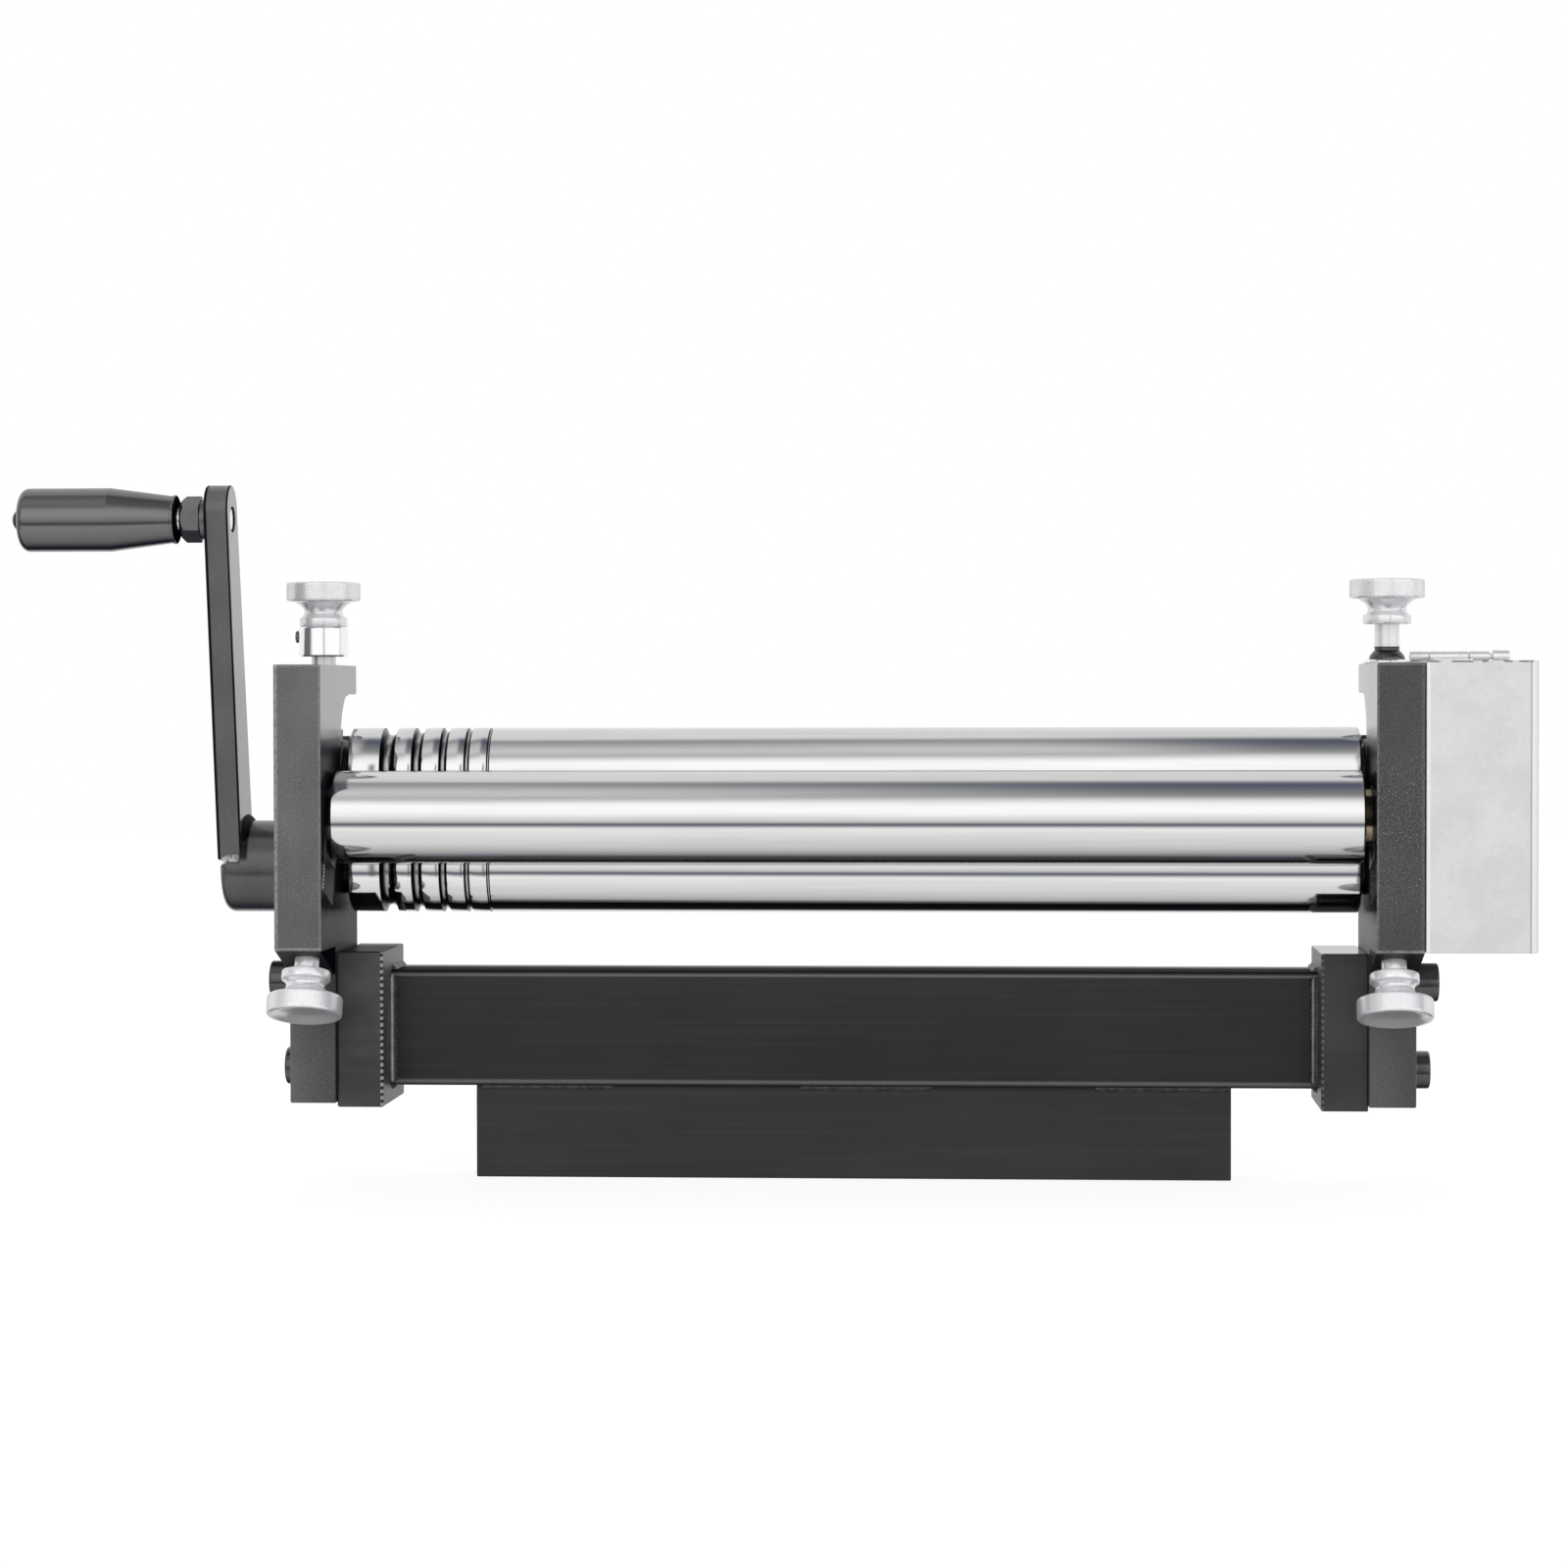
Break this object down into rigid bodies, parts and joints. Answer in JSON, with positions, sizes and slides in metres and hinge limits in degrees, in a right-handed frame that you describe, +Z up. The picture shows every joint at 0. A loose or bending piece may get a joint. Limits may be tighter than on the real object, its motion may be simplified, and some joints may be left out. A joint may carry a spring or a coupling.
{
  "type": "slip roll machine",
  "caption": "Bench-vise slip roll machine with geared pinch rollers, a bending roller in slanted slots, wire grooves, thumb-screw adjusters, a side crank and a gear guard.",
  "frame": {"origin": "centre of the lower face of the bar that a vise grips", "axes": "+X along the rollers from the crank to the gears, +Y from the bending roller's side to the feed side, +Z up"},
  "size_m": [0.4871, 0.0801, 0.2263],
  "materials": {
    "plate_grey": "satin dark grey",
    "frame_black": "satin black with mill streaks",
    "weld": "satin black over a rough bead",
    "black_oxide": "black oxide",
    "roller_steel": "ground and polished",
    "block_steel": "machined",
    "bronze": "machined bronze",
    "gear_steel": "machined",
    "key_steel": "machined",
    "zinc": "bright zinc plate",
    "crank_paint": "satin dark grey",
    "grip_plastic": "gloss black",
    "guard_paint": "light grey",
    "hinge_steel": "plated"
  },
  "bodies": {
    "frame": {"left_side_plate": "plate_grey", "right_side_plate": "plate_grey", "left_end_block": "frame_black", "right_end_block": "frame_black", "base_beam": "frame_black", "vise_bar": "frame_black", "beam_welds": "weld", "bar_welds": "weld", "cap_screws": "black_oxide", "lower_bush_left": "bronze", "lower_bush_right": "bronze", "jam_nut": "black_oxide", "jam_washer": "zinc", "guard_cover": "guard_paint", "guard_screws": "hinge_steel", "hinge_top_leaf": "hinge_steel", "hinge_top_rivets": "hinge_steel", "hinge_pin": "hinge_steel"},
    "lower_roll": {"lower_roller": "roller_steel", "lower_gear": "gear_steel", "lower_gear_key": "key_steel", "lower_gear_washer": "zinc", "lower_gear_screw": "black_oxide", "crank_hub": "crank_paint", "crank_arm": "crank_paint", "crank_hub_screw": "black_oxide", "crank_weld": "crank_paint", "handle_spindle": "zinc", "handle_nut": "black_oxide", "handle_washer": "black_oxide"},
    "grip": {"handle_grip": "grip_plastic"},
    "upper_carriage": {"upper_block_left": "block_steel", "upper_block_right": "block_steel", "upper_bush_left": "bronze", "upper_bush_right": "bronze"},
    "upper_roll": {"upper_roller": "roller_steel", "upper_roller_clip": "black_oxide", "upper_gear": "gear_steel", "upper_gear_key": "key_steel", "upper_gear_washer": "zinc", "upper_gear_screw": "black_oxide"},
    "bending_carriage": {"bending_block_left": "block_steel", "bending_block_right": "block_steel", "bending_bush_left": "bronze", "bending_bush_right": "bronze"},
    "bending_roll": {"bending_roller": "roller_steel", "bending_roller_clip": "black_oxide"},
    "upper_screw_l": {"upper_screw_left": "zinc", "stop_collar": "zinc", "stop_collar_grub": "black_oxide"},
    "upper_screw_r": {"upper_screw_right": "zinc"},
    "bending_screw_l": {"bending_screw_left": "zinc"},
    "bending_screw_r": {"bending_screw_right": "zinc"},
    "door": {"guard_door": "guard_paint", "hinge_door_leaf": "hinge_steel", "hinge_door_rivets": "hinge_steel"}
  },
  "joints": [
    {"name": "crank_turn", "type": "hinge", "parent": "frame", "child": "lower_roll", "pos_m": [0, -0.0105, 0.1024], "axis": [1, 0, 0], "continuous": true},
    {"name": "grip_spin", "type": "hinge", "parent": "lower_roll", "child": "grip", "pos_m": [-0.24, -0.03349, 0.21538], "axis": [1, 0, 0], "continuous": true},
    {"name": "upper_screw_left_turn", "type": "hinge", "parent": "upper_carriage", "child": "upper_screw_l", "pos_m": [-0.1735, -0.0105, 0.19], "axis": [0, 0, 1], "range_deg": [0, 864]},
    {"name": "upper_screw_right_turn", "type": "hinge", "parent": "upper_carriage", "child": "upper_screw_r", "pos_m": [0.1735, -0.0105, 0.19], "axis": [0, 0, 1], "range_deg": [0, 864]},
    {"name": "upper_roll_lift", "type": "slide", "parent": "frame", "child": "upper_carriage", "axis": [0, 0, 1], "range_m": [0, 0.003]},
    {"name": "upper_roll_turn", "type": "hinge", "parent": "upper_carriage", "child": "upper_roll", "pos_m": [0, -0.0105, 0.1328], "axis": [1, 0, 0], "continuous": true},
    {"name": "bending_screw_left_turn", "type": "hinge", "parent": "bending_carriage", "child": "bending_screw_l", "pos_m": [-0.1722, -0.03513, 0.11832], "axis": [0, 0.3256, 0.9455], "range_deg": [-3456, 0]},
    {"name": "bending_screw_right_turn", "type": "hinge", "parent": "bending_carriage", "child": "bending_screw_r", "pos_m": [0.1722, -0.03513, 0.11832], "axis": [0, 0.3256, 0.9455], "range_deg": [-3456, 0]},
    {"name": "bending_roll_shift", "type": "slide", "parent": "frame", "child": "bending_carriage", "axis": [0, 0.3256, 0.9455], "range_m": [-0.012, 0]},
    {"name": "bending_roll_turn", "type": "hinge", "parent": "bending_carriage", "child": "bending_roll", "pos_m": [0, -0.03796, 0.1193], "axis": [1, 0, 0], "continuous": true},
    {"name": "guard_door_swing", "type": "hinge", "parent": "frame", "child": "door", "pos_m": [0.2, 0.0083, 0.1707], "axis": [1, 0, 0], "range_deg": [0, 110]}
  ],
  "couplings": [
    {"joint": "upper_roll_turn", "follows": "crank_turn", "ratio": -1},
    {"joint": "upper_screw_left_turn", "follows": "upper_roll_lift", "rad_per_m": 5026.5},
    {"joint": "upper_screw_right_turn", "follows": "upper_roll_lift", "rad_per_m": 5026.5},
    {"joint": "bending_screw_left_turn", "follows": "bending_roll_shift", "rad_per_m": 5026.5},
    {"joint": "bending_screw_right_turn", "follows": "bending_roll_shift", "rad_per_m": 5026.5}
  ]
}
